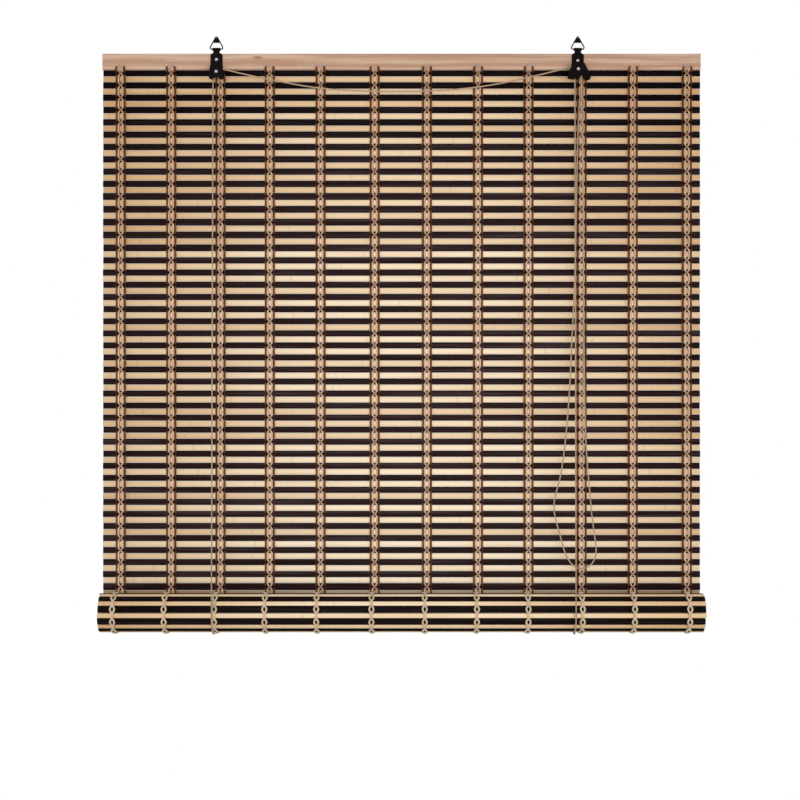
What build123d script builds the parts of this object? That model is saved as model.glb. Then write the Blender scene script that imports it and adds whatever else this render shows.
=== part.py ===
import math
import os

from build123d import *

# Bamboo roll-up blind, hanging half rolled up, in millimetres.
# The origin is the centre of the headrail's back face, X runs along the headrail,
# the room side faces -Y and Z points up.

# Whole blind
blind_width = 900.0
overrun = 3.0

# Headrail
headrail_depth = 12.0
headrail_height = 24.2
headrail_edge_radius = 1.5

# Slats of the mat, dark and pale in turn
slat_thickness = 2.4
pale_slat_width = 8.0
dark_slat_width = 9.8
slat_gap = 0.325
slat_edge_chamfer = 0.6
# The dark slats are split by hand, so batches differ: (rows, share of the usual width), from the top
dark_batch_shares = ((1, 0.898), (9, 1.010), (5, 1.092), (5, 0.995), (22, 0.969), (2, 1.112))
mat_setback = 6.5
mat_top_gap = 0.4

# Warps, the strings that weave the slats together
warp_width = 8.0
warp_thickness = 0.9
warp_place_shares = (
    -0.940, -0.771, -0.606, -0.441, -0.271, -0.090,
    0.085, 0.256, 0.425, 0.603, 0.774, 0.955,
)

# Roll of wound mat on its bottom rail
roll_slat_count = 62
roll_dark_share = 0.918
roll_slat_gap = 0.4
roll_web = 0.8
roll_turn_spacing = 4.2
roll_axis_drop = 1.4
roll_warp_turn_share = 0.9
bottom_rail_diameter = 16.0
bottom_rail_clearance = 0.3

# Cords
cord_diameter = 2.0
cord_clearance = 0.3
cord_bend_share = 0.45
left_lift_x = -280.0
right_lift_x = 257.0
anchor_depth = 12.0
anchor_clearance = 0.1

# Brackets, stamped from sheet steel
plate_thickness = 1.2
left_bracket_x = -278.2
right_bracket_x = 265.0
neck_width = 9.8
shoulder_width = 18.0
shoulder_height = 10.4
shoulder_rise = 2.8
flare_drop = 3.4
left_foot_drop = 26.9
left_foot_reach = 11.5
right_foot_drop = 28.6
right_foot_reach = 20.6
right_foot_cord_drop = 26.2
right_foot_cord_reach = 16.6
right_notch_shift = 5.0
foot_corner_radius = 3.2
foot_notch_radius = 4.5
cheek_flange_width = 16.0
cheek_flange_rise = 5.0

# Hanging rings
ring_axis_height = 18.4
ring_apex_height = 38.5
ring_half_width = 11.3
ring_wire_radius = 0.9
ring_corner_radius = 2.6
ring_apex_radius = 1.5
ring_web_height = 9.0
ring_clearance = 0.15
curl_width = 12.4

# Pulleys
pulley_width = 4.4
pulley_rim_radius = 6.4
pulley_cord_radius = 5.0
pulley_root_half_width = 1.0
pulley_rim_half_width = 1.8
pulley_bore_clearance = 0.2
pulley_side_clearance = 0.2
left_axle_drop = 15.9
right_axle_drop = 12.8

# Screws and rivets
screw_head_radius = 2.65
screw_head_height = 1.6
screw_shank_radius = 1.6
screw_reach = 9.0
left_screw_height = 2.8
right_screw_height = 0.95
axle_radius = 1.5
pin_radius = 1.2
pin_head_radius = 1.9
pin_head_height = 0.8
hole_clearance = 0.05

# Lock dog in the right bracket
dog_radius = 4.9
dog_cam_rise = 1.3
dog_tooth_depth = 0.6
dog_tooth_count = 7
dog_hub_radius = 2.6
dog_first_angle = 165.0
dog_sweep_angle = 95.0
dog_drop = 21.5
dog_bore_clearance = 0.15

# Routes of the two slack cords, as points along the middle of the cord
cross_cord_route = (
    (-283.2, -15.6, -21.1), (-283.2, -15.6, -13.6), (-279.0, -15.6, -10.1), (-271.4, -15.6, -11.3),
    (-258.0, -15.6, -14.4), (-233.0, -15.6, -20.4), (-186.0, -15.6, -30.0), (-136.0, -15.6, -39.4),
    (-80.4, -15.6, -44.2), (-22.0, -15.6, -45.6), (37.0, -15.6, -45.3), (92.0, -15.6, -41.8),
    (140.0, -15.6, -35.4), (184.0, -15.6, -26.2), (222.0, -15.6, -17.0), (245.0, -15.6, -11.2),
    (258.4, -15.6, -8.0), (265.8, -15.6, -7.1), (270.0, -15.6, -10.5), (270.0, -15.6, -18.0),
)
pull_cord_route = (
    (270.0, -15.6, -18.0), (269.9, -15.6, -27.5), (268.6, -15.5, -46.0), (266.0, -15.3, -80.0),
    (264.4, -15.0, -132.0), (263.2, -15.0, -190.0), (262.0, -15.2, -250.0), (260.9, -15.0, -310.0),
    (258.6, -15.0, -368.0), (255.5, -15.3, -424.0), (253.4, -15.5, -480.0), (249.6, -15.6, -534.0),
    (244.6, -15.6, -586.0), (238.6, -15.8, -626.0), (230.6, -16.0, -653.0), (228.2, -16.0, -670.0),
    (230.9, -16.0, -687.0), (237.6, -16.2, -710.0), (243.6, -16.4, -734.0), (251.0, -16.6, -751.0),
    (261.0, -16.9, -760.6), (272.0, -17.2, -763.0), (282.6, -17.6, -758.6), (290.2, -17.9, -748.6),
    (292.6, -18.2, -733.0), (289.2, -18.5, -709.0), (285.2, -18.8, -681.0), (282.6, -19.1, -648.0),
    (278.6, -19.3, -608.0), (275.6, -19.5, -556.0), (274.5, -19.7, -497.0), (273.8, -19.8, -438.0),
    (272.8, -19.9, -379.0), (272.4, -20.0, -320.0), (272.6, -20.1, -261.0), (272.1, -20.1, -202.0),
    (271.6, -20.2, -143.0), (270.6, -20.2, -90.0), (270.3, -20.2, -54.0), (270.0, -20.2, -30.0),
    (270.0, -20.25, -18.0), (270.0, -20.2, -10.7), (267.1, -20.2, -7.8), (262.9, -20.2, -7.8),
    (260.0, -20.2, -10.7), (260.0, -20.2, -18.0),
)

# Places that follow from the sizes above
headrail_bottom = -headrail_height / 2
dark_widths = [share * dark_slat_width for rows, share in dark_batch_shares for _ in range(rows)]
mat_pair_count = len(dark_widths)
mat_y = -mat_setback
mat_front = mat_y - slat_thickness / 2
mat_back = mat_y + slat_thickness / 2
mat_top = headrail_bottom - mat_top_gap
mat_bottom = mat_top - sum(dark_widths) - mat_pair_count * (pale_slat_width + 2 * slat_gap) + slat_gap
roll_z = mat_bottom - roll_axis_drop
cord_radius = cord_diameter / 2
plate_back = -headrail_depth
plate_front = plate_back - plate_thickness
wheel_step = pulley_width + pulley_side_clearance
back_wheel_y = plate_front - pulley_side_clearance - pulley_width / 2
front_wheel_y = back_wheel_y - wheel_step
left_cheek_back = plate_front - wheel_step - pulley_side_clearance
right_cheek_back = left_cheek_back - wheel_step
ring_axis_y = plate_back - plate_thickness / 2
left_pulley_z = -left_axle_drop
right_pulley_z = -right_axle_drop
pulley_root_radius = pulley_cord_radius - cord_radius - cord_clearance
dog_x = right_bracket_x + pulley_cord_radius + cord_radius + cord_clearance + dog_radius
dog_z = -dog_drop
left_feet = (left_foot_reach, left_foot_reach, left_foot_drop, left_foot_drop, 0)
right_feet = (
    right_foot_cord_reach, right_foot_reach, right_foot_cord_drop, right_foot_drop, right_notch_shift,
)


def front_plane(y):
    return Plane(origin=(0, y, 0), x_dir=(1, 0, 0), z_dir=(0, -1, 0))


def side_plane(x):
    return Plane(origin=(x, 0, 0), x_dir=(0, 1, 0), z_dir=(1, 0, 0))


def extrude_forward(sketch, y, depth):
    return extrude(front_plane(y) * sketch, depth, dir=(0, -1, 0))


def extrude_across(sketch, x, length):
    return extrude(side_plane(x) * sketch, length, dir=(1, 0, 0))


def box_between(low, high):
    size = [b - a for a, b in zip(low, high)]
    middle = [(a + b) / 2 for a, b in zip(low, high)]
    return Pos(*middle) * Box(*size)


def rod_along_y(x, z, radius, back, front):
    return extrude_forward(Pos(x, z) * Circle(radius), back, back - front)


def rod_up(x, y, radius, low, high):
    return extrude(Plane(origin=(x, y, low)) * Circle(radius), high - low)


# Roll: the mat is wound outward on the bottom rail, each slat a straight chord
def roll_slat_width(index):
    dark = (roll_slat_count - index) % 2 == 1
    return (roll_dark_share * dark_slat_width if dark else pale_slat_width) + roll_slat_gap


def roll_polar_corners():
    first = roll_slat_width(0)
    start_radius = math.hypot(bottom_rail_diameter / 2 + bottom_rail_clearance, first / 2)
    corners = [(0.0, start_radius)]
    for index in range(roll_slat_count):
        angle, radius = corners[-1]
        step = 2 * math.asin(roll_slat_width(index) / (2 * radius))
        corners.append((angle + step, radius + roll_turn_spacing * step / (2 * math.pi)))
    return corners


roll_corners_polar = roll_polar_corners()
roll_end_angle, roll_inner_radius = roll_corners_polar[-1]
roll_y = mat_front - roll_inner_radius


def roll_corners():
    places = []
    for angle, radius in roll_corners_polar:
        turned = roll_end_angle - angle
        places.append(Vector(roll_y + radius * math.cos(turned), roll_z - radius * math.sin(turned)))
    return places


def roll_slat_faces():
    corners = roll_corners()
    faces = []
    for start, end in zip(corners, corners[1:]):
        along = (end - start).normalized()
        outward = Vector(along.Y, -along.X)
        middle = (start + end) / 2
        if outward.dot(middle - Vector(roll_y, roll_z)) < 0:
            outward = -outward
        inset = along * (roll_slat_gap / 2)
        faces.append((start + inset, end - inset, outward))
    return corners, faces


def roll_outer_radius():
    axis = Vector(roll_y, roll_z)
    _, faces = roll_slat_faces()
    return max((end + outward * slat_thickness - axis).length for _, end, outward in faces)


saddle_radius = roll_outer_radius() + cord_clearance + cord_radius
saddle_back = roll_y + saddle_radius
saddle_front = roll_y - saddle_radius


def mat_roll():
    corners, faces = roll_slat_faces()
    outer = []
    for index, (start, end, outward) in enumerate(faces):
        if index > 0:
            outer.append(corners[index] + outward * roll_web)
        outer.append(start + outward * slat_thickness)
        outer.append(end + outward * slat_thickness)
    loop = [(p.X, p.Y) for p in corners] + [(p.X, p.Y) for p in reversed(outer)]
    section = make_face(Polyline(*loop, close=True))
    return extrude_across(section, -blind_width / 2, blind_width)


def roll_warp(x):
    _, faces = roll_slat_faces()
    last_turn = roll_end_angle - 2 * math.pi * roll_warp_turn_share
    count = sum(1 for angle, _ in roll_corners_polar if angle > last_turn)
    under = []
    over = []
    for start, end, outward in faces[-count:]:
        under += [start + outward * slat_thickness, end + outward * slat_thickness]
        raised = slat_thickness + warp_thickness
        over += [start + outward * raised, end + outward * raised]
    loop = [(p.X, p.Y) for p in under] + [(p.X, p.Y) for p in reversed(over)]
    section = make_face(Polyline(*loop, close=True))
    return extrude_across(section, x - warp_width / 2, warp_width)


def roll_warps():
    return Compound([roll_warp(share * blind_width / 2) for share in warp_place_shares])


def bottom_rail():
    section = Pos(roll_y, roll_z) * Circle(bottom_rail_diameter / 2)
    return extrude_across(section, -blind_width / 2, blind_width)


# Headrail with its screw holes and the blind holes that hold the lift cords' ends
def headrail():
    low = (-blind_width / 2, -headrail_depth, -headrail_height / 2)
    high = (blind_width / 2, 0, headrail_height / 2)
    body = box_between(low, high)
    body = fillet(body.edges().filter_by(Axis.X), headrail_edge_radius)
    hole = screw_shank_radius + hole_clearance
    for x, z in ((left_bracket_x, left_screw_height), (right_bracket_x, right_screw_height)):
        body -= rod_along_y(x, z, hole, plate_front - plate_thickness + screw_reach, plate_front)
    for x in (left_lift_x, right_lift_x):
        top = headrail_bottom + anchor_depth
        body -= rod_up(x, saddle_back, cord_radius + anchor_clearance, headrail_bottom - overrun, top)
    return body


# Hanging mat
def slat(width, z):
    section = Rectangle(slat_thickness, width)
    section = chamfer(section.vertices(), slat_edge_chamfer)
    return extrude_across(Pos(mat_y, z) * section, -blind_width / 2, blind_width)


def row_tops():
    tops = [mat_top]
    for width in dark_widths:
        tops.append(tops[-1] - width - pale_slat_width - 2 * slat_gap)
    return tops


def dark_slats():
    return Compound([slat(width, top - width / 2) for width, top in zip(dark_widths, row_tops())])


def pale_slats():
    drop = slat_gap + pale_slat_width / 2
    middles = [top - width - drop for width, top in zip(dark_widths, row_tops())]
    return Compound([slat(pale_slat_width, middle) for middle in middles])


def warp(x):
    strands = []
    for back in (mat_front, mat_back + warp_thickness):
        low = (x - warp_width / 2, back - warp_thickness, mat_bottom)
        high = (x + warp_width / 2, back, headrail_bottom)
        strands.append(box_between(low, high))
    return Compound(strands)


# Brackets: a plate with a curl for the ring, and a cheek that holds the pulleys in front of it
def housing_sketch(top_points, feet):
    reach_left, reach_right, drop_left, drop_right, notch_shift = feet
    half = shoulder_width / 2
    foot_points = [
        (half, -flare_drop), (reach_right, -drop_right), (-reach_left, -drop_left), (-half, -flare_drop),
    ]
    outline = Polygon(*top_points, *foot_points, align=None)
    toes = [corner for corner in outline.vertices() if corner.Y < -min(drop_left, drop_right) + overrun]
    outline = fillet(toes, foot_corner_radius)
    return outline - Pos(notch_shift, -(drop_left + drop_right) / 2) * Circle(foot_notch_radius)


def bracket_plate(x, feet, screw_z, axle_z):
    neck = neck_width / 2
    half = shoulder_width / 2
    bore = ring_wire_radius + ring_clearance
    neck_top = ring_axis_height - bore - plate_thickness / 2
    waist = shoulder_height + shoulder_rise
    top_points = [
        (-half, shoulder_height), (-neck, waist), (-neck, neck_top),
        (neck, neck_top), (neck, waist), (half, shoulder_height),
    ]
    outline = housing_sketch(top_points, feet)
    outline -= Pos(0, screw_z) * Circle(screw_shank_radius + hole_clearance)
    outline -= Pos(0, axle_z) * Circle(axle_radius + hole_clearance)
    plate = extrude_forward(outline, plate_back, plate_thickness)
    curl_middle = Pos(ring_axis_y, ring_axis_height)
    curl = extrude_across(curl_middle * Circle(bore + plate_thickness), -curl_width / 2, curl_width)
    bore_length = curl_width + 2 * overrun
    eye = extrude_across(curl_middle * Circle(bore), -bore_length / 2, bore_length)
    return Pos(x, 0, 0) * (plate + curl - eye)


def bracket_cheek(x, feet, screw_z, axle_z, cheek_back, joggle_top):
    half = shoulder_width / 2
    cheek_front = cheek_back - plate_thickness
    flange_front = plate_front - plate_thickness
    flange_top = screw_z + cheek_flange_rise
    joggle_bottom = joggle_top - plate_thickness
    bend = Polygon(
        (plate_front, flange_top), (flange_front, flange_top), (flange_front, joggle_top),
        (cheek_front, joggle_top), (cheek_front, joggle_bottom), (plate_front, joggle_bottom),
        align=None,
    )
    folded = extrude_across(bend, -cheek_flange_width / 2, cheek_flange_width)
    outline = housing_sketch([(-half, shoulder_height), (half, shoulder_height)], feet)
    cut_height = shoulder_height - joggle_top + overrun
    outline -= Pos(0, joggle_top + cut_height / 2) * Rectangle(2 * shoulder_width, cut_height)
    outline -= Pos(0, axle_z) * Circle(axle_radius + hole_clearance)
    folded += extrude_forward(outline, cheek_back, plate_thickness)
    folded -= rod_along_y(0, screw_z, screw_shank_radius + hole_clearance, plate_front, cheek_front)
    return Pos(x, 0, 0) * folded


def left_bracket():
    return bracket_plate(left_bracket_x, left_feet, left_screw_height, left_pulley_z)


def left_cheek():
    joggle_top = left_pulley_z + pulley_rim_radius + 2 * plate_thickness
    return bracket_cheek(
        left_bracket_x, left_feet, left_screw_height, left_pulley_z, left_cheek_back, joggle_top
    )


def dog_pin_hole(back, front):
    return rod_along_y(dog_x, dog_z, pin_radius + hole_clearance, back, front)


def right_bracket():
    plate = bracket_plate(right_bracket_x, right_feet, right_screw_height, right_pulley_z)
    return plate - dog_pin_hole(plate_back, plate_front)


def right_cheek():
    joggle_top = right_pulley_z + pulley_rim_radius + 2 * plate_thickness
    cheek = bracket_cheek(
        right_bracket_x, right_feet, right_screw_height, right_pulley_z, right_cheek_back, joggle_top
    )
    return cheek - dog_pin_hole(right_cheek_back, right_cheek_back - plate_thickness)


# Screws and rivets share one shape: a domed head on a round shank along Y
def domed_pin(x, z, head_radius, head_height, shank_radius, seat, tip):
    dome = (head_radius**2 + head_height**2) / (2 * head_height)
    middle = seat - head_height + dome
    half_turn = math.asin(head_radius / dome) / 2
    edge = (head_radius, seat)
    crown = (0, seat - head_height)
    shoulder = (dome * math.sin(half_turn), middle - dome * math.cos(half_turn))
    outline = Polyline(crown, (0, tip), (shank_radius, tip), (shank_radius, seat), edge)
    outline += ThreePointArc(edge, shoulder, crown)
    return Pos(x, 0, z) * revolve(make_face(outline), Axis.Y)


def bracket_screws():
    seat = plate_front - plate_thickness
    places = ((left_bracket_x, left_screw_height), (right_bracket_x, right_screw_height))
    screws = []
    for x, z in places:
        head = (screw_head_radius, screw_head_height, screw_shank_radius)
        screws.append(domed_pin(x, z, *head, seat, seat + screw_reach))
    return Compound(screws)


def axle(x, z, cheek_back):
    head = (screw_head_radius, screw_head_height, axle_radius)
    return domed_pin(x, z, *head, cheek_back - plate_thickness, plate_back)


def dog_pin():
    head = (pin_head_radius, pin_head_height, pin_radius)
    return domed_pin(dog_x, dog_z, *head, right_cheek_back - plate_thickness, plate_back)


# Hanging ring: a bent wire triangle with a solid apex, hinged on its straight base
def hanging_ring(x):
    base = ring_axis_height
    corners = [(-ring_half_width, base), (ring_half_width, base), (0, ring_apex_height)]
    frame = Plane(origin=(0, ring_axis_y, 0), x_dir=(1, 0, 0), z_dir=(0, -1, 0))
    radii = [ring_corner_radius, ring_corner_radius, ring_apex_radius]
    path = frame * FilletPolyline(*corners, radius=radii, close=True)
    start = path @ 0
    wire = sweep(Plane(origin=start, z_dir=path % 0) * Circle(ring_wire_radius), path=path)
    slope = ring_half_width / (ring_apex_height - base)
    web_top = ring_apex_height - 2 * ring_apex_radius
    web_low = ring_apex_height - ring_apex_radius - ring_web_height
    low_half = (ring_apex_height - web_low) * slope
    high_half = (ring_apex_height - web_top) * slope
    web = Polygon(
        (-low_half, web_low), (low_half, web_low), (high_half, web_top), (-high_half, web_top), align=None
    )
    sheet = extrude_forward(web, ring_axis_y + ring_wire_radius / 2, ring_wire_radius)
    return Pos(x, 0, 0) * (wire + sheet)


# Grooved pulley on the Y axis
def pulley(x, y, z):
    half = pulley_width / 2
    bore = axle_radius + pulley_bore_clearance
    profile = Polygon(
        (bore, -half), (pulley_rim_radius, -half), (pulley_rim_radius, -pulley_rim_half_width),
        (pulley_root_radius, -pulley_root_half_width), (pulley_root_radius, pulley_root_half_width),
        (pulley_rim_radius, pulley_rim_half_width), (pulley_rim_radius, half), (bore, half),
        align=None,
    )
    return Pos(x, y, z) * revolve(profile, Axis.Y)


# Lock dog: a toothed cam whose fattest tooth bears on the pull cords at rest
def lock_dog():
    points = []
    step = math.radians(dog_sweep_angle) / dog_tooth_count
    first = math.radians(dog_first_angle)
    for tooth in range(dog_tooth_count + 1):
        turn = tooth / dog_tooth_count
        angle = first + tooth * step
        radius = dog_radius - dog_cam_rise * turn
        points.append((radius * math.cos(angle), radius * math.sin(angle)))
        root = radius - dog_tooth_depth
        points.append((root * math.cos(angle), root * math.sin(angle)))
    outline = Polygon((0, 0), *points, align=None) + Circle(dog_hub_radius)
    outline -= Circle(pin_radius + dog_bore_clearance)
    back = plate_front - pulley_side_clearance
    front = right_cheek_back + pulley_side_clearance
    return extrude_forward(Pos(dog_x, dog_z) * outline, back, back - front)


# Lift cords: down the back of the mat, under the roll and up its front to the pulley
def lift_cord_back(x):
    return rod_up(x, saddle_back, cord_radius, roll_z, headrail_bottom + anchor_depth)


def lift_cord_saddle(x):
    face = Plane(origin=(x, saddle_back, roll_z)) * Circle(cord_radius)
    return revolve(face, Axis((x, roll_y, roll_z), (-1, 0, 0)), 180)


def lift_cord_front(x, top):
    low = Plane(origin=(x, saddle_front, roll_z)) * Circle(cord_radius)
    return loft([low, Plane(origin=top) * Circle(cord_radius)])


# Slack cords: straight runs joined by arcs as large as the runs allow
def cord_tube(name, route):
    places = [Vector(*place) for place in route]
    radii = []
    for before, here, after in zip(places, places[1:], places[2:]):
        run_in = here - before
        run_out = after - here
        turn = math.radians(run_in.get_angle(run_out))
        radii.append(cord_bend_share * min(run_in.length, run_out.length) / math.tan(turn / 2))
    path = FilletPolyline(*places, radius=radii)
    print(name, "length", round(path.length, 1), "radii", [round(r, 1) for r in radii])
    tube = sweep(Plane(origin=path @ 0, z_dir=path % 0) * Circle(cord_radius), path=path)
    print(name, "volume share of section times length",
          round(tube.volume / (math.pi * cord_radius**2 * path.length), 4))
    return tube


nodes = {
    "headrail": headrail(),
    "dark_slats": dark_slats(),
    "pale_slats": pale_slats(),
    "mat_roll": mat_roll(),
    "roll_warps": roll_warps(),
    "bottom_rail": bottom_rail(),
    "left_bracket": left_bracket(),
    "left_cheek": left_cheek(),
    "right_bracket": right_bracket(),
    "right_cheek": right_cheek(),
    "bracket_screws": bracket_screws(),
    "left_axle": axle(left_bracket_x, left_pulley_z, left_cheek_back),
    "right_axle": axle(right_bracket_x, right_pulley_z, right_cheek_back),
    "left_pulley": pulley(left_bracket_x, back_wheel_y, left_pulley_z),
    "right_back_pulley": pulley(right_bracket_x, back_wheel_y, right_pulley_z),
    "right_front_pulley": pulley(right_bracket_x, front_wheel_y, right_pulley_z),
    "lock_dog": lock_dog(),
    "dog_pin": dog_pin(),
    "left_ring": hanging_ring(left_bracket_x),
    "right_ring": hanging_ring(right_bracket_x),
    "left_lift_back": lift_cord_back(left_lift_x),
    "left_lift_saddle": lift_cord_saddle(left_lift_x),
    "left_lift_front": lift_cord_front(left_lift_x, cross_cord_route[0]),
    "right_lift_back": lift_cord_back(right_lift_x),
    "right_lift_saddle": lift_cord_saddle(right_lift_x),
    "right_lift_front": lift_cord_front(right_lift_x, pull_cord_route[-1]),
    "cross_cord": cord_tube("cross_cord", cross_cord_route),
    "pull_cord": cord_tube("pull_cord", pull_cord_route),
}
for number, share in enumerate(warp_place_shares, start=1):
    nodes[f"warp_{number:02d}"] = warp(share * blind_width / 2)

print("roll axis y", round(roll_y, 2), "z", round(roll_z, 2), "outer radius", round(roll_outer_radius(), 2))
print("saddle radius", round(saddle_radius, 2), "from", round(saddle_front, 2), "to", round(saddle_back, 2))
print("mat bottom", round(mat_bottom, 2), "dog", round(dog_x, 2), round(dog_z, 2))

os.makedirs("parts", exist_ok=True)
for name, shape in nodes.items():
    export_step(shape, f"parts/{name}.step")
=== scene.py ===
import math
import random

import bmesh
import bpy
from mathutils import Matrix, Vector


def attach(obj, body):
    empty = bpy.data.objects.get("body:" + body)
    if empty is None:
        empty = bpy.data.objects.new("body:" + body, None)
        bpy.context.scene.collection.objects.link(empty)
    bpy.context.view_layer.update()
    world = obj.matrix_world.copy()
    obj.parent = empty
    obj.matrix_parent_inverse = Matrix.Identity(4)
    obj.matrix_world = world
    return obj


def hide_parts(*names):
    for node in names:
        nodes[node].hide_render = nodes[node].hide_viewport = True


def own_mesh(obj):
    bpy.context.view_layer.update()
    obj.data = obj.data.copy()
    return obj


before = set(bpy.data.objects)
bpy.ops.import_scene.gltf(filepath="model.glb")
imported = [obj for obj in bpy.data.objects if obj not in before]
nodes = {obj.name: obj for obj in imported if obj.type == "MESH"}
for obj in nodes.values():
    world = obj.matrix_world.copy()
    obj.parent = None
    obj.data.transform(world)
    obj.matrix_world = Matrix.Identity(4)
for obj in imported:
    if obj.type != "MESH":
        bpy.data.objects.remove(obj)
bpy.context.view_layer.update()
mm = 0.001


def rgb(r, g, b):
    lin = [c / 255 / 12.92 if c < 11 else ((c / 255 + 0.055) / 1.055) ** 2.4 for c in (r, g, b)]
    return (*lin, 1.0)


# camera at the photograph's angle: level and square on, a little below the blind's middle
shot = {"place": (-0.0023, -2.706, -0.509), "lens": 80.6, "sensor": 36.0, "far": 60}


def setCamera():
    data = bpy.data.cameras.new("shotCamera")
    data.lens = shot["lens"]
    data.sensor_width = shot["sensor"]
    data.clip_end = shot["far"]
    cam = bpy.data.objects.new("shotCamera", data)
    cam.location = shot["place"]
    cam.rotation_euler = (math.pi / 2, 0, 0)
    bpy.context.scene.collection.objects.link(cam)
    bpy.context.scene.camera = cam
    print("camera set")


# shader helpers: a Sock is one output, so sums on it read as sums
class Sock:
    def __init__(self, owner, socket):
        self.owner = owner
        self.socket = socket

    def calc(self, operation, *values):
        return self.owner.node("ShaderNodeMath", {"operation": operation}, dict(enumerate(values)))

    def __add__(self, other):
        return self.calc("ADD", self, other)

    __radd__ = __add__

    def __sub__(self, other):
        return self.calc("SUBTRACT", self, other)

    def __rsub__(self, other):
        return self.calc("SUBTRACT", other, self)

    def __mul__(self, other):
        return self.calc("MULTIPLY", self, other)

    __rmul__ = __mul__

    def __truediv__(self, other):
        return self.calc("DIVIDE", self, other)

    def __rtruediv__(self, other):
        return self.calc("DIVIDE", other, self)

    def fract(self):
        return self.calc("FRACT", self)

    def away(self):  # distance from zero
        return self.calc("ABSOLUTE", self)

    def wave(self):  # a sine between 0 and 1
        return self.calc("SINE", self) * 0.5 + 0.5

    def larger(self, other):
        return self.calc("MAXIMUM", self, other)

    def step(self, low, high):
        return self.owner.node("ShaderNodeMapRange", {"interpolation_type": "SMOOTHSTEP"},
                               {"Value": self, "From Min": low, "From Max": high})


class Nodes:
    def __init__(self, tree):
        self.tree = tree

    def node(self, kind, settings=None, sockets=None, out=0):
        made = self.tree.nodes.new(kind)
        for key, value in (settings or {}).items():
            if key == "stops":
                for stop, (place, colour) in zip(made.color_ramp.elements, value):
                    stop.position = place
                    stop.color = colour
            else:
                setattr(made, key, value)
        for key, value in (sockets or {}).items():
            if isinstance(value, Sock):
                self.tree.links.new(value.socket, made.inputs[key])
            else:
                made.inputs[key].default_value = value
        return Sock(self, made.outputs[out])


class Finish(Nodes):
    def __init__(self, name, roughness, metallic=0.0, specular=0.5, sheen=0.0):
        self.material = bpy.data.materials.new(name)
        self.material.use_nodes = True
        super().__init__(self.material.node_tree)
        self.shader = self.tree.nodes["Principled BSDF"]
        self.shader.inputs["Roughness"].default_value = roughness
        self.shader.inputs["Metallic"].default_value = metallic
        self.shader.inputs["Specular IOR Level"].default_value = specular
        self.shader.inputs["Sheen Weight"].default_value = sheen

    def place(self, scale, shift=(0, 0, 0)):
        spot = self.node("ShaderNodeTexCoord", None, None, "Object")
        return self.node("ShaderNodeMapping", None, {"Vector": spot, "Scale": scale, "Location": shift})

    def axis(self, name):
        spot = self.node("ShaderNodeTexCoord", None, None, "Object")
        return self.node("ShaderNodeSeparateXYZ", None, {0: spot}, name)

    def noise(self, scale, detail=3.0, rough=0.55, shift=(0, 0, 0)):
        spot = self.place(scale, shift)
        return self.node("ShaderNodeTexNoise", None,
                         {"Vector": spot, "Scale": 1.0, "Detail": detail, "Roughness": rough})

    def mix(self, factor, first, second, blend="MIX"):
        return self.node("ShaderNodeMix", {"data_type": "RGBA", "blend_type": blend},
                         {0: factor, 6: first, 7: second}, 2)

    def attribute(self, name):
        return self.node("ShaderNodeAttribute", {"attribute_name": name}, None, "Fac")

    def feed(self, name, value):
        self.tree.links.new(value.socket, self.shader.inputs[name])

    def bump(self, height, strength, depth):
        self.feed("Normal", self.node("ShaderNodeBump", None,
                                      {"Height": height, "Strength": strength, "Distance": depth}))


# pale bamboo: skin side, fine fibres along the slat, each slat its own tone, warmer towards
# the sides; darker and yellower in the top rows, paler in the low rows, partly sun fading and partly painted light
# and shade;
# the last two rows browner with painted shadow from the roll
paleBamboo = {
    "topRows": rgb(220, 183, 139), "middleRows": rgb(242, 217, 182), "lowRows": rgb(250, 233, 203),
    "tanSlat": rgb(216, 180, 136), "creamSlat": rgb(248, 230, 200),
    "patch": rgb(222, 188, 148), "bleach": rgb(250, 234, 206), "fibre": rgb(196, 152, 104),
    "jointStep": 0.34, "joint": rgb(176, 128, 84), "rollShadeRows": rgb(140, 110, 76), "sides": rgb(255, 242, 225),
}


def paleBambooFinish():
    look = paleBamboo
    fin = Finish("paleBamboo", 0.42, specular=0.25)
    tone = fin.attribute("slatTone")
    row = fin.attribute("slatRow")
    fibre = fin.noise((9, 260, 700), 4.0, 0.6)
    drift = fin.noise((3.2, 20, 55), 2.0, 0.5)
    # darker and yellower top rows, paler low rows: partly sun fading, partly painted shade under the headrail and
    # painted light lower down
    colour = fin.mix(row.step(0.0, 0.4), look["topRows"], look["middleRows"])
    colour = fin.mix(row.step(0.6, 0.95) * 0.8, colour, look["lowRows"])
    colour = fin.mix(tone.step(0.5, 1.0) * 0.55, colour, look["tanSlat"])
    colour = fin.mix((1 - tone).step(0.6, 1.0) * 0.4, colour, look["creamSlat"])
    colour = fin.mix(drift.step(0.5, 0.72) * 0.5, colour, look["patch"])
    colour = fin.mix((1 - drift).step(0.5, 0.72) * 0.35, colour, look["bleach"])
    colour = fin.mix(fibre.step(0.52, 0.78) * 0.24, colour, look["fibre"])
    joint = ((fin.axis("X") / look["jointStep"] + tone * 7.3).fract() - 0.5).away()
    line = 1 - joint.step(0.0015, 0.006)
    colour = fin.mix(line * 0.22, colour, look["joint"])
    # painted shadow of the roll on the last two pale rows
    colour = fin.mix(row.step(0.96, 0.97) * 0.75, colour, look["rollShadeRows"])
    colour = fin.mix(fin.axis("X").away().step(0.12, 0.44), colour, look["sides"], "MULTIPLY")
    fin.feed("Base Color", colour)
    fin.feed("Roughness", fibre * 0.22 + 0.32)
    fin.bump(fibre * 0.7 + line * 0.6, 0.35, 0.00025)
    return fin.material


# dark bamboo: stained nearly black, streaked along the slats with painted grey glints; near black in the top rows
# with painted shade under the headrail, where the grey slats, glints and fibres fade out
darkBamboo = {
    "topRows": rgb(6, 2, 2), "rows": rgb(37, 22, 21), "greySlat": rgb(44, 30, 30),
    "paintedGlint": rgb(70, 56, 57), "deepStain": rgb(15, 5, 4), "fibre": rgb(60, 44, 40),
}


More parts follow.
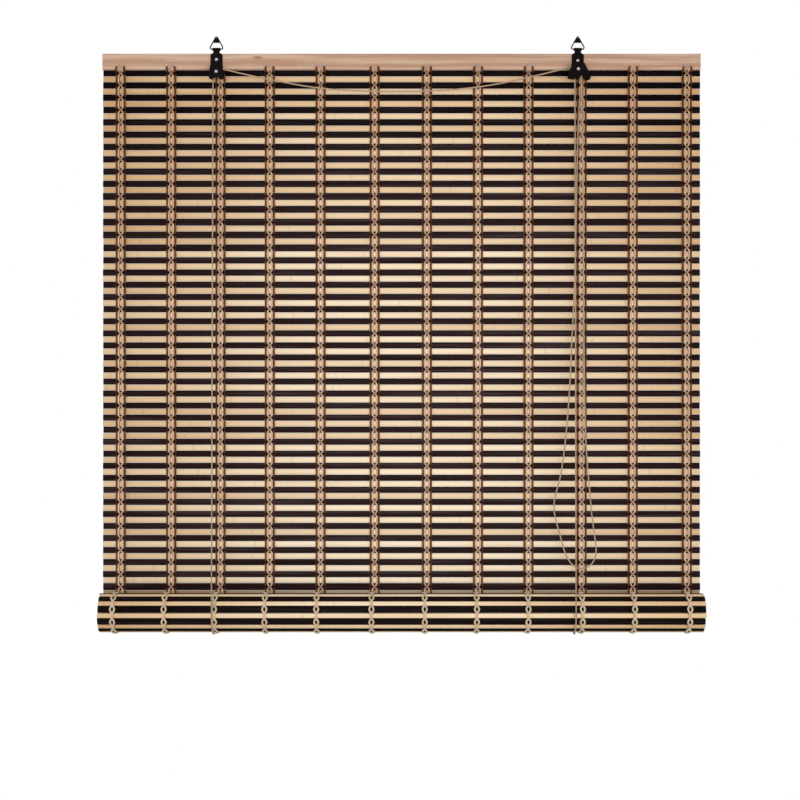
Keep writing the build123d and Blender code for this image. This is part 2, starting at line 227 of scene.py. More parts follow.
def darkBambooFinish():
    look = darkBamboo
    fin = Finish("darkBamboo", 0.5, specular=0.05)
    tone = fin.attribute("slatTone")
    row = fin.attribute("slatRow")
    fibre = fin.noise((8, 240, 650), 4.0, 0.62)
    streak = fin.noise((4.5, 60, 230), 3.0, 0.6, shift=(3.1, 0, 0))
    # painted shade under the headrail: how much of the grey slats, glints and fibres shows, small in the top rows
    outOfHeadrailShade = row.step(0.0, 0.3) * 0.85 + 0.15
    # the top rows near black: painted shade under the headrail
    colour = fin.mix(row.step(0.02, 0.28), look["topRows"], look["rows"])
    colour = fin.mix(tone.step(0.4, 1.0) * outOfHeadrailShade * 0.6, colour, look["greySlat"])
    # painted glints: grey streaks along the slats where the lacquer would catch the light
    colour = fin.mix(streak.step(0.5, 0.72) * outOfHeadrailShade * 0.6, colour, look["paintedGlint"])
    colour = fin.mix((1 - streak).step(0.5, 0.72) * 0.55, colour, look["deepStain"])
    colour = fin.mix(fibre.step(0.56, 0.8) * outOfHeadrailShade * 0.4, colour, look["fibre"])
    fin.feed("Base Color", colour)
    fin.feed("Roughness", 0.62 - streak.step(0.5, 0.75) * 0.22)
    fin.bump(fibre, 0.4, 0.00025)
    return fin.material


# headrail: planed softwood, pinkish, long open grain, one small knot
headrailWood = {
    "earlyWood": rgb(200, 168, 145), "lateWood": rgb(177, 138, 114), "grain": rgb(160, 116, 92),
    "pink": rgb(190, 138, 112), "pale": rgb(202, 180, 156), "knot": rgb(152, 82, 56),
    "knotPlace": (-0.0605, -0.0024, 0.0062), "knotStretch": (0.28, 0.2, 1),
}


def headrailFinish():
    look = headrailWood
    fin = Finish("headrailWood", 0.55, specular=0.2)
    wander = fin.noise((3.5, 30, 30), 2.0, 0.5)
    grain = fin.noise((6, 90, 300), 5.0, 0.65)
    patch = fin.noise((9, 60, 120), 3.0, 0.55, shift=(1.7, 0, 0))
    rings = (fin.axis("Z") * 420 + fin.axis("Y") * 210 + wander * 11.0).wave()
    stops = ((0.1, look["earlyWood"]), (0.9, look["lateWood"]))
    colour = fin.node("ShaderNodeValToRGB", {"stops": stops}, {0: rings})
    colour = fin.mix(grain.step(0.46, 0.72) * 0.7, colour, look["grain"])
    colour = fin.mix(patch.step(0.52, 0.7) * 0.5, colour, look["pink"])
    colour = fin.mix((1 - patch).step(0.55, 0.72) * 0.5, colour, look["pale"])
    knot = fin.node("ShaderNodeVectorMath", {"operation": "DISTANCE"},
                    {0: fin.place(look["knotStretch"]), 1: look["knotPlace"]}, "Value")
    colour = fin.mix((1 - knot.step(0.0006, 0.0032)) * 0.8, colour, look["knot"])
    fin.feed("Base Color", colour)
    fin.feed("Roughness", grain * 0.25 + 0.42)
    fin.bump(grain * 0.8 + rings * 0.3, 0.3, 0.0003)
    return fin.material


# twine: soft cotton, two plies laid round each other, with painted shade where strands cross over the dark slats
# and painted shade towards the top
twineTopShade = rgb(234, 224, 212)


def twineFinish(name, light, dark, crossShade=rgb(136, 102, 90)):
    fin = Finish(name, 0.85, specular=0.12, sheen=0.1)
    lay = (fin.axis("Z") * 2600 + fin.axis("X") * 2100 + fin.axis("Y") * 900).wave()
    fluff = fin.noise((900, 900, 900), 2.0, 0.6)
    soil = fin.noise((60, 60, 70), 2.0, 0.5)
    colour = fin.mix(lay * 0.5, light, dark)
    colour = fin.mix(soil.step(0.42, 0.68) * 0.5, colour, dark)
    # painted shade where the strands cross over a dark slat
    colour = fin.mix(fin.attribute("crossing").step(0.15, 0.9) * 0.75, colour, crossShade)
    # painted shade towards the top, under the headrail
    colour = fin.mix(fin.axis("Z").step(-0.42, -0.04), colour, twineTopShade, "MULTIPLY")
    fin.feed("Base Color", colour)
    fin.bump(lay * 0.7 + fluff * 0.3, 0.5, 0.0003)
    return fin.material


# braid: the cord's own map runs along it, so the plaits cross at a steady slant
braid = {
    "plait": 0.0034, "turns": 2,
    "light": rgb(190, 160, 130), "dark": rgb(124, 94, 72), "fleck": rgb(208, 182, 154),
}


def braidFinish():
    fin = Finish("braid", 0.7, specular=0.15, sheen=0.1)
    spot = fin.node("ShaderNodeUVMap", {"uv_map": "along"})
    around = fin.node("ShaderNodeSeparateXYZ", None, {0: spot}, "X") * braid["turns"]
    along = fin.node("ShaderNodeSeparateXYZ", None, {0: spot}, "Y") / braid["plait"]
    first = ((along + around).fract() - 0.5).away() * 2
    second = ((along - around).fract() - 0.5).away() * 2
    plait = first.larger(second)
    fleck = fin.noise((500, 500, 300), 2.0, 0.5)
    # darker towards the grooves between the plaits: painted shade in the recesses
    colour = fin.mix(plait.step(0.55, 0.95) * 0.6, braid["light"], braid["dark"])
    colour = fin.mix(fleck.step(0.5, 0.7) * 0.35, colour, braid["fleck"])
    fin.feed("Base Color", colour)
    fin.bump(1 - plait, 0.6, 0.0004)
    return fin.material


# black enamel on pressed steel, duller where it is handled
def enamelFinish():
    fin = Finish("blackEnamel", 0.34, specular=0.04)
    ripple = fin.noise((700, 700, 700), 2.0, 0.5)
    rub = fin.noise((160, 160, 160), 4.0, 0.65)
    fin.feed("Base Color", fin.mix(rub.step(0.5, 0.75) * 0.6, rgb(9, 3, 5), rgb(30, 19, 22)))
    fin.feed("Roughness", rub * 0.25 + 0.3)
    fin.bump(ripple, 0.15, 0.0001)
    return fin.material


# bright zinc plate on the screws and axle heads
def zincFinish():
    fin = Finish("zincPlate", 0.3, metallic=1.0)
    brush = fin.noise((300, 40, 900), 3.0, 0.6)
    stain = fin.noise((180, 180, 180), 3.0, 0.6)
    fin.feed("Base Color", fin.mix(stain.step(0.5, 0.75) * 0.5, rgb(176, 168, 172), rgb(128, 120, 122)))
    fin.feed("Roughness", brush * 0.3 + 0.3)
    fin.bump(brush, 0.12, 0.0001)
    return fin.material


# moulded pulley wheels
def mouldedFinish():
    fin = Finish("mouldedBlack", 0.45, specular=0.2)
    grit = fin.noise((900, 900, 900), 3.0, 0.6)
    wear = fin.noise((120, 120, 120), 3.0, 0.6)
    fin.feed("Base Color", fin.mix(wear.step(0.5, 0.8) * 0.4, rgb(18, 18, 19), rgb(40, 39, 38)))
    fin.feed("Roughness", wear * 0.3 + 0.3)
    fin.bump(grit, 0.2, 0.0001)
    return fin.material


finishes = {
    "pale": paleBambooFinish(),
    "dark": darkBambooFinish(),
    "headrail": headrailFinish(),
    "twine": twineFinish("tanTwine", rgb(231, 199, 165), rgb(190, 150, 121)),
    "paleTwine": twineFinish("paleTwine", rgb(218, 197, 168), rgb(178, 151, 122)),
    # brown edge strings: own colour and partly painted shadow beside the warp; near-black painted shade at the
    # dark slats
    "edge": twineFinish("brownTwine", rgb(122, 72, 36), rgb(62, 27, 11), rgb(24, 6, 3)),
    "fray": twineFinish("frayedTwine", rgb(238, 212, 198), rgb(206, 170, 152)),
    "braid": braidFinish(),
    "enamel": enamelFinish(),
    "zinc": zincFinish(),
    "moulded": mouldedFinish(),
}
print("finishes made")


def addPiece(name, mesh, body, finish, stands=()):
    piece = bpy.data.objects.new(name, mesh)
    bpy.context.scene.collection.objects.link(piece)
    mesh.materials.clear()
    mesh.materials.append(finishes[finish])
    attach(piece, body)
    if stands:
        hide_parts(*stands)
    return piece


def toMesh(bm, name):
    mesh = bpy.data.meshes.new(name)
    for face in bm.faces:
        face.smooth = True
    bm.to_mesh(mesh)
    bm.free()
    return mesh


# hanging mat: sizes are the CAD's, in metres; a batch is (rows, share of the usual dark width)
mat = {
    "halfWidth": 0.450, "plane": -0.0065, "top": -0.0125, "thick": 0.0024, "pale": 0.0080, "dark": 0.0098,
    "gap": 0.000325, "batches": ((1, 0.898), (9, 1.010), (5, 1.092), (5, 0.995), (22, 0.969), (2, 1.112)),
    "stillRows": 4, "crown": 0.0007, "crownFlat": 0.5, "edge": 0.0005, "tilt": 2.5, "uneven": 0.0009,
    "tones": (0.02, 1), "seeds": {"pale": 11, "dark": 23},
}
mat["front"] = mat["plane"] - mat["thick"] / 2
mat["back"] = mat["plane"] + mat["thick"] / 2
lift = {"joint": "roll_lift", "travel": 0.745}
# paleRow and darkRow are the row shares whose colours the roll's slats take; at 0.08 the dark ones take the
# near-black, painted-shade colour of the top rows
roll = {
    "axis": Vector((0.0, -0.03666, -0.82503)), "count": 62, "darkShare": 0.918, "gap": 0.0004, "spacing": 0.0042,
    "railRadius": 0.0083, "uneven": 0.0016, "paleShow": 0.86, "darkShow": 1.03, "paleRow": 0.4, "darkRow": 0.08,
    "paleSeed": 37, "darkSeed": 31, "warpShift": -0.004, "woven": 24, "strand": 0.0015, "swing": 0.0032,
    "over": 0.0006, "lead": 0.0003, "parts": (0.08, 0.3, 0.5, 0.7, 0.92),
}
roll["raised"] = roll["axis"].z + lift["travel"]

rows = []  # top edge and dark width of each pair of slats
rowTop = mat["top"]
for count, share in mat["batches"]:
    for dark in [share * mat["dark"]] * count:
        rows.append((rowTop, dark))
        rowTop -= dark + mat["pale"] + 2 * mat["gap"]
lastRow = len(rows) - 1


def slatMiddle(kind, row):
    top, dark = rows[row]
    return top - dark / 2 if kind == "dark" else top - dark - mat["gap"] - mat["pale"] / 2


# one slat: a crowned section drawn (across, out), pulled along X, its four long corners eased
def addSlat(bm, layers, width, middle, across, out, trims, tone, row):
    half, thick = width / 2, mat["thick"] / 2
    flat, shoulder = half * mat["crownFlat"], thick - mat["crown"]
    outline = ((-half, -thick), (half, -thick), (half, shoulder),
               (flat, thick), (-flat, thick), (-half, shoulder))
    start = Vector((trims[0] - mat["halfWidth"], 0, 0))
    face = bm.faces.new([bm.verts.new(middle + across * a + out * b + start) for a, b in outline])
    corners = [face.verts[n] for n in (0, 1, 2, 5)]
    made = bmesh.ops.extrude_face_region(bm, geom=[face])["geom"]
    far = [v for v in made if isinstance(v, bmesh.types.BMVert)]
    bmesh.ops.translate(bm, verts=far, vec=(2 * mat["halfWidth"] - sum(trims), 0, 0))
    long = [e for v in corners for e in v.link_edges if e.other_vert(v) in far]
    bmesh.ops.bevel(bm, geom=long, offset=mat["edge"], segments=2, profile=0.5, affect="EDGES", material=-1)
    for vert in bm.verts:
        if vert[layers[0]] == 0:
            vert[layers[0]] = tone
            vert[layers[1]] = row


def newSlats():
    bm = bmesh.new()
    return bm, (bm.verts.layers.float.new("slatTone"), bm.verts.layers.float.new("slatRow"))


def finishSlats(bm, name):
    bmesh.ops.recalc_face_normals(bm, faces=bm.faces)
    mesh = toMesh(bm, name)
    for poly in mesh.polygons:
        poly.use_smooth = len(poly.vertices) == 4
    return mesh


def matSlats(kind, chosen):
    pick = random.Random(mat["seeds"][kind])
    bm, layers = newSlats()
    for row, (_, dark) in enumerate(rows):
        tone, tilt = pick.uniform(*mat["tones"]), math.radians(pick.uniform(-1, 1) * mat["tilt"])
        trims = (pick.random() * mat["uneven"], pick.random() * mat["uneven"])
        if row not in chosen:
            continue
        across = Vector((0, math.sin(tilt), math.cos(tilt)))
        out = Vector((0, -math.cos(tilt), math.sin(tilt)))
        width = dark if kind == "dark" else mat["pale"]
        middle = Vector((0, mat["plane"], slatMiddle(kind, row)))
        addSlat(bm, layers, width, middle, across, out, trims, tone, row / lastRow)
    return finishSlats(bm, kind + "Slats")


def gather(piece):
    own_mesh(piece)


stillRows = range(mat["stillRows"])
movingRows = range(mat["stillRows"], len(rows))
for kind in ("pale", "dark"):
    addPiece(kind + "SlatsTop", matSlats(kind, stillRows), "blind", kind, [kind + "_slats"])
    gather(addPiece(kind + "Slats", matSlats(kind, movingRows), "blind", kind, [kind + "_slats"]))
print("mat slats made")

# weave: places along the width are shares of the half width
weave = {
    "places": (-0.940, -0.771, -0.606, -0.441, -0.271, -0.090, 0.085, 0.256, 0.425, 0.603, 0.774, 0.955),
    "strand": 0.0013, "swing": 0.0035, "sharp": 2.0, "steps": 8, "over": 0.0017, "lead": 0.0008,
    "stray": 0.00015, "seed": 5, "press": 0.7,
    "edgeStrand": 0.0014, "edgeOut": 0.0063, "edgeBow": 0.0004, "edgeSteps": 4, "edgeOver": 0.0003,
    "edgeDip": 0.0018,
    "backStrand": 0.0012, "backSwing": 0.0036, "backSharp": 1.2, "backSteps": 6, "backOver": 0.0012,
    "backLead": 0.0006,
}
weaveSpots = [slatMiddle(kind, row) for row in range(len(rows)) for kind in ("dark", "pale")]


def drawCurve(name, kind, lines):
    data = bpy.data.curves.new(name, "CURVE")
    data.dimensions = "3D"
    for line in lines:
        spline = data.splines.new(kind)
        spline.points.add(len(line) - 1)
        for spot, place in zip(spline.points, line):
            spot.co = (*place, 1.0)
    return data


def curveMesh(data):
    holder = bpy.data.objects.new(data.name, data)
    bpy.context.scene.collection.objects.link(holder)
    bpy.context.view_layer.update()
    mesh = bpy.data.meshes.new_from_object(holder.evaluated_get(bpy.context.evaluated_depsgraph_get()))
    bpy.data.objects.remove(holder)
    bpy.data.curves.remove(data)
    return mesh


def strandMesh(name, lines, radius):
    data = drawCurve(name, "POLY", lines)
    data.bevel_depth = radius
    data.bevel_resolution = 1
    data.use_fill_caps = True
    mesh = curveMesh(data)
    mesh.name = name
    for poly in mesh.polygons:
        poly.use_smooth = True
    return mesh


# presses soft strands flatter against the face they lie on
def pressed(mesh, face):
    bm = bmesh.new()
    bm.from_mesh(mesh)
    bmesh.ops.scale(bm, verts=bm.verts, vec=(1, weave["press"], 1), space=Matrix.Translation((0, -face, 0)))
    bm.to_mesh(mesh)
    bm.free()
    return mesh


# marks how near each point of a strand is to the middle of a dark slat, where the strands cross and take painted
# shade
def markCrossings(mesh):
    middles = [slatMiddle("dark", row) for row in range(len(rows))]
    marks = mesh.attributes.new("crossing", "FLOAT", "POINT")
    for spot, mark in zip(mesh.vertices, marks.data):
        away = min(abs(spot.co.z - middle) for middle in middles)
        mark.value = max(0.0, 1 - away / (mat["dark"] / 2))
    return mesh


# whole turns fall on the middles of the dark slats, half turns on the pale ones
def weaveHeight(turn):
    step = min(max(math.floor(turn * 2), 0), len(weaveSpots) - 2)
    return weaveSpots[step] + (weaveSpots[step + 1] - weaveSpots[step]) * (turn * 2 - step)


def turnsOf(chosen, steps):
    first, count = chosen[0] - 0.25, len(chosen)
    return [first + n / steps for n in range(count * steps + 1)]


def swap(turn, sharp):
    return math.tanh(sharp * math.sin(math.pi * turn)) / math.tanh(sharp)


# two lines for each warp: bend takes the warp's middle, the side and the turn, and gives the place
# across and out
def warpLines(chosen, steps, bend):
    turns = turnsOf(chosen, steps)
    return [[(*bend(share * mat["halfWidth"], side, turn), weaveHeight(turn)) for turn in turns]
            for share in weave["places"] for side in (-1, 1)]


# front: the two strands cross on each dark slat and run side by side on each pale one
def frontStrands(chosen):
    pick = random.Random(weave["seed"])

    def bend(x, side, turn):
        over = weave["over"] + weave["lead"] * side * math.cos(math.pi * turn)
        x = x + side * weave["swing"] * swap(turn, weave["sharp"]) + pick.uniform(-1, 1) * weave["stray"]
        return x, mat["front"] - over

    mesh = strandMesh("frontStrands", warpLines(chosen, weave["steps"], bend), weave["strand"])
    return markCrossings(pressed(mesh, mat["front"]))


# brown strings along both edges of each warp, over the pale slats and under the dark ones; their dark brown is the
# strings' own colour and partly painted shadow of the warp on the pale slats, near black with painted shade where
# they pass the dark slats
def edgeStrands(chosen):
    def bend(x, side, turn):
        sway = math.cos(2 * math.pi * turn)
        x = x + side * (weave["edgeOut"] + weave["edgeBow"] * sway)
        return x, mat["front"] - weave["edgeOver"] + weave["edgeDip"] * sway

    lines = warpLines(chosen, weave["edgeSteps"], bend)
    return markCrossings(strandMesh("edgeStrands", lines, weave["edgeStrand"]))


# back: they open into a diamond over each dark slat and cross on each pale one
def backStrands(chosen):
    def bend(x, side, turn):
        over = weave["backOver"] + weave["backLead"] * side * math.cos(math.pi * (turn + 0.5))
        return x + side * weave["backSwing"] * swap(turn + 0.5, weave["backSharp"]), mat["back"] + over

    lines = warpLines(chosen, weave["backSteps"], bend)
    return pressed(strandMesh("backStrands", lines, weave["backStrand"]), mat["back"])


warpNodes = [f"warp_{number:02d}" for number in range(1, 13)]
twines = {
    "frontTwine": (frontStrands, "twine"),
    "edgeTwine": (edgeStrands, "edge"),
    "backTwine": (backStrands, "paleTwine"),
}
for label, (maker, finish) in twines.items():
    addPiece(label + "Top", maker(stillRows), "blind", finish, warpNodes)
    gather(addPiece(label, maker(movingRows), "blind", finish, warpNodes))
print("weave made")

# string ends: turned up over the headrail's lower edge and frayed out on its face
ends = {
    "face": -0.012, "under": -0.0130, "clear": 0.013, "ease": 0.0006, "tuck": 0.6, "bend": 0.0014, "bendLean": 0.1,
    "strandOut": 0.0030, "strandTip": 0.0016, "strandRise": 0.0032, "strandProud": 0.7, "strandShow": 0.8,
    "edgeLean": 0.0008, "edgeRise": 0.0042,
    "fibres": 9, "fibreOut": 0.0030, "fibreSpread": 0.0100, "fibreRise": 0.0090, "shortest": 0.4,
    "fibre": 0.00042, "fibreProud": 0.0004, "seed": 17,
}
hardwarePlaces = (-0.2782, 0.265)


def endLine(x, tip, rise, thick):
    y = ends["face"] - thick
    under, bend = ends["under"], ends["under"] + ends["bend"]
    return [(x, mat["front"] - thick, under - thick), (x, y + ends["ease"], under - thick * ends["tuck"]),
            (x + (tip - x) * ends["bendLean"], y, bend), (tip, y, bend + rise)]


def stringEnds():
    pick = random.Random(ends["seed"])
    strands, edges, fibres = [], [], []
    for share in weave["places"]:
        x = share * mat["halfWidth"]
        if min(abs(x - spot) for spot in hardwarePlaces) < ends["clear"]:
            continue
        for side in (-1, 1):
            strands.append(endLine(x + side * ends["strandOut"], x + side * ends["strandTip"],
                                   ends["strandRise"], weave["strand"] * ends["strandProud"]))
            edges.append(endLine(x + side * weave["edgeOut"], x + side * (weave["edgeOut"] - ends["edgeLean"]),
                                 ends["edgeRise"], weave["edgeStrand"]))
        for _ in range(ends["fibres"]):
            lean = pick.uniform(-1, 1)
            rise = ends["fibreRise"] * pick.uniform(ends["shortest"], 1)
            fibres.append(endLine(x + lean * ends["fibreOut"], x + lean * ends["fibreSpread"],
                                  rise, ends["fibre"] + ends["fibreProud"]))
    return strands, edges, fibres


strands, edges, fibres = stringEnds()
for name, lines, radius, finish in (
    ("strandEnds", strands, weave["strand"] * ends["strandShow"], "twine"),
    ("edgeEnds", edges, weave["edgeStrand"], "edge"),
    ("frayedEnds", fibres, ends["fibre"], "fray"),
):
    addPiece(name, strandMesh(name, lines, radius), "blind", finish)
print("string ends made")


# roll: the same winding as the CAD, slat by slat from the rail outwards
def rollPlaces():
    darks = [(roll["count"] - number) % 2 == 1 for number in range(roll["count"])]
    widths = [(roll["darkShare"] * mat["dark"] if dark else mat["pale"]) + roll["gap"] for dark in darks]
    corners = [(0.0, math.hypot(roll["railRadius"], widths[0] / 2))]
    for width in widths:
        angle, radius = corners[-1]
        step = 2 * math.asin(width / (2 * radius))
        corners.append((angle + step, radius + roll["spacing"] * step / (2 * math.pi)))
    last = corners[-1][0]
    spots = [roll["axis"] + Vector((0, math.cos(last - a), -math.sin(last - a))) * r for a, r in corners]
    places = []
    for start, end, dark in zip(spots, spots[1:], darks):
        along = (end - start).normalized()
        out = Vector((0, along.z, -along.y))
        if out.dot((start + end) / 2 - roll["axis"]) < 0:
            out = -out
        places.append((start, end, along, out, dark))
    return places


windings = rollPlaces()


def rollSlats(kind):
    pick = random.Random(roll[kind + "Seed"])
    bm, layers = newSlats()
    width = roll["darkShare"] * mat["dark"] if kind == "dark" else mat["pale"]
    for start, end, along, out, dark in windings:
        tone = pick.uniform(*mat["tones"])
        trims = (pick.random() * roll["uneven"], pick.random() * roll["uneven"])
        if dark == (kind == "dark"):
            middle = (start + end) / 2 + out * (mat["thick"] / 2)
            addSlat(bm, layers, width * roll[kind + "Show"], middle, along, out, trims, tone, roll[kind + "Row"])
    return finishSlats(bm, "rollSlats")


# the back's weave shows on the roll: open over each dark slat, crossed on each pale one
def rollStrands():
    outer = windings[-roll["woven"]:]
    firstDark = outer[0][-1]
    lines = []
    for share in weave["places"]:
        for side in (-1, 1):
            line = []
            for number, (start, end, _, out, _) in enumerate(outer):
                for part in roll["parts"]:
                    turn = (number + part) / 2 + (0.25 if firstDark else -0.25)
                    over = mat["thick"] + roll["over"] + roll["lead"] * side * math.cos(math.pi * turn)
                    spot = start.lerp(end, part) + out * over
                    across = side * roll["swing"] * math.sin(math.pi * turn) ** 3
                    line.append((share * mat["halfWidth"] + roll["warpShift"] + across, spot.y, spot.z))
            lines.append(line)
    return strandMesh("rollStrands", lines, roll["strand"])


addPiece("rollPale", rollSlats("pale"), "roll", "pale", ["mat_roll"])
addPiece("rollDark", rollSlats("dark"), "roll", "dark", ["mat_roll"])
addPiece("rollTwine", rollStrands(), "roll", "paleTwine", ["roll_warps"])
print("roll made")

# cords: control points in millimetres, the same routes as the CAD tubes
cords = {"radius": 0.001, "sides": 10, "smooth": 8}
crossRoute = (
    (-283.2, -15.6, -21.1), (-283.2, -15.6, -13.6), (-279.0, -15.6, -10.1), (-271.4, -15.6, -11.3),
    (-258.0, -15.6, -14.4), (-233.0, -15.6, -20.4), (-186.0, -15.6, -30.0), (-136.0, -15.6, -39.4),
    (-80.4, -15.6, -44.2), (-22.0, -15.6, -45.6), (37.0, -15.6, -45.3), (92.0, -15.6, -41.8),
    (140.0, -15.6, -35.4), (184.0, -15.6, -26.2), (222.0, -15.6, -17.0), (245.0, -15.6, -11.2),
    (258.4, -15.6, -8.0), (265.8, -15.6, -7.1), (270.0, -15.6, -10.5), (270.0, -15.6, -18.0),
)
pullRoute = (
    (270.0, -15.6, -18.0), (269.9, -15.6, -27.5), (268.6, -15.5, -46.0), (266.0, -15.3, -80.0),
    (264.4, -15.0, -132.0), (263.2, -15.0, -190.0), (262.0, -15.2, -250.0), (260.9, -15.0, -310.0),
    (258.6, -15.0, -368.0), (255.5, -15.3, -424.0), (253.4, -15.5, -480.0), (249.6, -15.6, -534.0),
    (244.6, -15.6, -586.0), (238.6, -15.8, -626.0), (230.6, -16.0, -653.0), (228.2, -16.0, -670.0),
    (230.9, -16.0, -687.0), (237.6, -16.2, -710.0), (243.6, -16.4, -734.0), (251.0, -16.6, -751.0),
    (261.0, -16.9, -760.6), (272.0, -17.2, -763.0), (282.6, -17.6, -758.6), (290.2, -17.9, -748.6),
    (292.6, -18.2, -733.0), (289.2, -18.5, -709.0), (285.2, -18.8, -681.0), (282.6, -19.1, -648.0),
    (278.6, -19.3, -608.0), (275.6, -19.5, -556.0), (274.5, -19.7, -497.0), (273.8, -19.8, -438.0),
    (272.8, -19.9, -379.0), (272.4, -20.0, -320.0), (272.6, -20.1, -261.0), (272.1, -20.1, -202.0),
    (271.6, -20.2, -143.0), (270.6, -20.2, -90.0), (270.3, -20.2, -54.0), (270.0, -20.2, -30.0),
    (270.0, -20.25, -18.0), (270.0, -20.2, -10.7), (267.1, -20.2, -7.8), (262.9, -20.2, -7.8),
    (260.0, -20.2, -10.7), (260.0, -20.2, -18.0),
)


def splinePoints(name, route):
    data = drawCurve(name, "NURBS", [[[c * mm for c in place] for place in route]])
    data.resolution_u = cords["smooth"]
    data.splines[0].order_u = 3
    data.splines[0].use_endpoint_u = True
    mesh = curveMesh(data)
    points = [v.co.copy() for v in mesh.vertices]
    bpy.data.meshes.remove(mesh)
    return points


# a tube pulled ring by ring along the line, with its own map round and along it
def tubeMesh(name, points, radius, sides):
    bm = bmesh.new()
    heading = (points[1] - points[0]).normalized()
    turn = Vector((0, 0, 1)).rotation_difference(heading).to_matrix().to_4x4()
    turn.translation = points[0]
    verts = bmesh.ops.create_circle(bm, segments=sides, radius=radius, matrix=turn)["verts"]
    rings, along = [verts], [0.0]
    edges = list(bm.edges)
    for n in range(1, len(points)):
        after = (points[min(n + 1, len(points) - 1)] - points[n - 1]).normalized()
        made = bmesh.ops.extrude_edge_only(bm, edges=edges)["geom"]
        edges = [e for e in made if isinstance(e, bmesh.types.BMEdge)]
        fresh = [v for v in made if isinstance(v, bmesh.types.BMVert)]
        spin = heading.rotation_difference(after).to_matrix()
        ring = []
        for old in rings[-1]:
            new = next(e.other_vert(old) for e in old.link_edges if e.other_vert(old) in fresh)
            new.co = points[n] + spin @ (old.co - points[n - 1])
            ring.append(new)
        rings.append(ring)
        along.append(along[-1] + (points[n] - points[n - 1]).length)
        heading = after
    mapLayer = bm.loops.layers.uv.new("along")
    spokeOf = {v: (s, n) for n, ring in enumerate(rings) for s, v in enumerate(ring)}
    for face in bm.faces:
        spokes = [spokeOf[loop.vert][0] for loop in face.loops]
        wraps = max(spokes) - min(spokes) > 1
        for loop in face.loops:
            spoke, n = spokeOf[loop.vert]
            share = 1.0 if wraps and spoke == 0 else spoke / sides
            loop[mapLayer].uv = (share, along[n])
    for ring in (rings[0], rings[-1]):
        bm.faces.new(ring)
    bmesh.ops.recalc_face_normals(bm, faces=bm.faces)
    return toMesh(bm, name), along[-1]


def addCord(name, points, body, stands):
    mesh, length = tubeMesh(name, points, cords["radius"], cords["sides"])
    return addPiece(name, mesh, body, "braid", stands), length


crossPoints = splinePoints("crossLine", crossRoute)
crossCord, crossLength = addCord("crossCord", crossPoints, "blind", ["cross_cord"])
pullPoints = splinePoints("pullLine", pullRoute)
pullCord, pullLength = addCord("pullCord", pullPoints, "blind", ["pull_cord"])
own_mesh(pullCord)
print("free cords", round(crossLength, 3), round(pullLength, 3))

# lift cords: down the back, under the roll and up its front to the pulley
liftRuns = {
    "left": {"x": -0.280, "tip": (-0.2832, -0.0156, -0.0211)},
    "right": {"x": 0.257, "tip": (0.2600, -0.0202, -0.0180)},
}
saddle = {"radius": 0.03259, "steps": 36, "backTop": -0.0001}


def saddleMesh(name, x):
    bm = bmesh.new()
    start = Matrix.Translation((x, roll["axis"].y + saddle["radius"], roll["axis"].z))
    bmesh.ops.create_circle(bm, segments=cords["sides"], radius=cords["radius"], matrix=start)
    bmesh.ops.spin(bm, geom=bm.verts[:] + bm.edges[:], cent=roll["axis"], axis=(1, 0, 0),
                   angle=-math.pi, steps=saddle["steps"])
    mapLayer = bm.loops.layers.uv.new("along")
    for face in bm.faces:
        spots = []
        for loop in face.loops:
            arm = loop.vert.co - roll["axis"]
            reach = math.hypot(arm.y, arm.z) - saddle["radius"]
            spots.append([math.atan2(arm.x - x, reach) / math.tau, math.atan2(-arm.z, arm.y) * saddle["radius"]])
        wraps = max(u for u, v in spots) - min(u for u, v in spots) > 0.5
        for loop, (u, v) in zip(face.loops, spots):
            loop[mapLayer].uv = (u + 1 if wraps and u < 0 else u, v)
    bmesh.ops.holes_fill(bm, edges=[e for e in bm.edges if e.is_boundary])
    bmesh.ops.recalc_face_normals(bm, faces=bm.faces)
    return toMesh(bm, name)


for side, run in liftRuns.items():
    axis = roll["axis"]
    high = Vector((run["x"], axis.y + saddle["radius"], saddle["backTop"]))
    low = Vector((run["x"], axis.y + saddle["radius"], axis.z))
    back, _ = addCord(side + "LiftBack", [high, low], "blind", [side + "_lift_back"])
    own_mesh(back)
    front = Vector((run["x"], axis.y - saddle["radius"], axis.z))
    tip = Vector(run["tip"])
    rise, _ = addCord(side + "LiftFront", [front, tip], "blind", [side + "_lift_front"])
    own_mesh(rise)
    under = saddleMesh(side + "LiftSaddle", run["x"])
    addPiece(side + "LiftSaddle", under, "roll_cradle", "braid", [side + "_lift_saddle"])
print("lift cords made")

# hardware keeps its CAD shape and gets its finish
hardware = {
    "headrail": ["headrail", "bottom_rail"],
    "enamel": ["left_bracket", "left_cheek", "right_bracket", "right_cheek", "lock_dog", "dog_pin",
               "left_ring", "right_ring"],
    "zinc": ["bracket_screws", "left_axle", "right_axle"],
    "moulded": ["left_pulley", "right_back_pulley", "right_front_pulley"],
}
for finish, names in hardware.items():
    for name in names:
        nodes[name].data.materials.clear()
        nodes[name].data.materials.append(finishes[finish])
print("hardware finished")

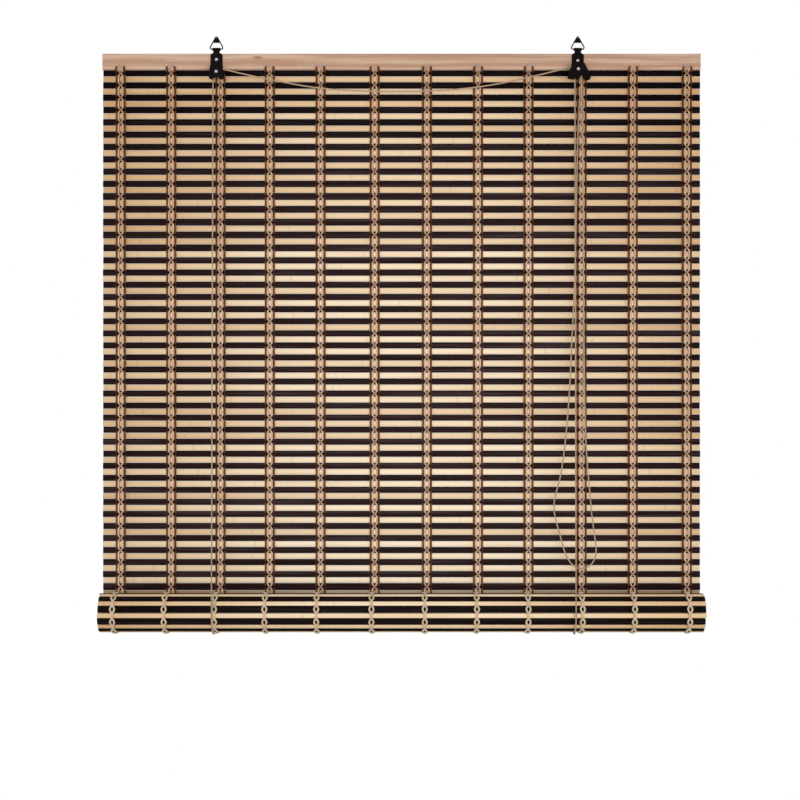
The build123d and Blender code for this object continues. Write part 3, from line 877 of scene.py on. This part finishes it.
# studio: pale floor below, two broad lamps in front, even light all round; a lamp is (place, size, power)
studio = {
    "floor": -1.32, "size": 1.5, "forward": -0.75, "sky": 0.52, "aim": (0, 0, -0.5),
    "lamps": {"keyLamp": ((-1.1, -2.6, 0.2), 2.2, 31.0), "fillLamp": ((1.5, -2.3, -0.5), 1.8, 22.0)},
}


def setFloor():
    bm = bmesh.new()
    bmesh.ops.create_grid(bm, x_segments=1, y_segments=1, size=studio["size"])
    bmesh.ops.translate(bm, verts=bm.verts, vec=(0, studio["forward"], studio["floor"]))
    floor = bpy.data.objects.new("floor", toMesh(bm, "floor"))
    bpy.context.scene.collection.objects.link(floor)
    fin = Finish("paleFloor", 0.8, specular=0.1)
    fin.feed("Base Color", fin.mix(fin.noise((6, 6, 6)) * 0.3, rgb(238, 238, 236), rgb(230, 230, 228)))
    floor.data.materials.append(fin.material)


def setLamps():
    for name, (place, size, power) in studio["lamps"].items():
        data = bpy.data.lights.new(name, "AREA")
        data.size = size
        data.energy = power
        lamp = bpy.data.objects.new(name, data)
        lamp.location = place
        lamp.rotation_euler = (Vector(studio["aim"]) - Vector(place)).to_track_quat("-Z", "Y").to_euler()
        bpy.context.scene.collection.objects.link(lamp)


# white where it is seen or mirrored, dimmer as a light
def setSky():
    world = bpy.data.worlds.new("studioSky")
    bpy.context.scene.world = world
    world.use_nodes = True
    sky = Nodes(world.node_tree)
    ground = sky.tree.nodes["Background"]
    ground.inputs["Color"].default_value = (1, 1, 1, 1)
    seen, through, shine = (sky.node("ShaderNodeLightPath", None, None, ray)
                            for ray in ("Is Camera Ray", "Is Transmission Ray", "Is Glossy Ray"))
    shown = seen.larger(through).larger(shine)
    level = sky.node("ShaderNodeMapRange", None, {"Value": shown, "To Min": studio["sky"], "To Max": 1.0})
    sky.tree.links.new(level.socket, ground.inputs["Strength"])


def setStudio():
    setFloor()
    setLamps()
    setSky()
    bpy.context.scene.view_settings.view_transform = "Standard"
    print("studio set")


setCamera()
setStudio()
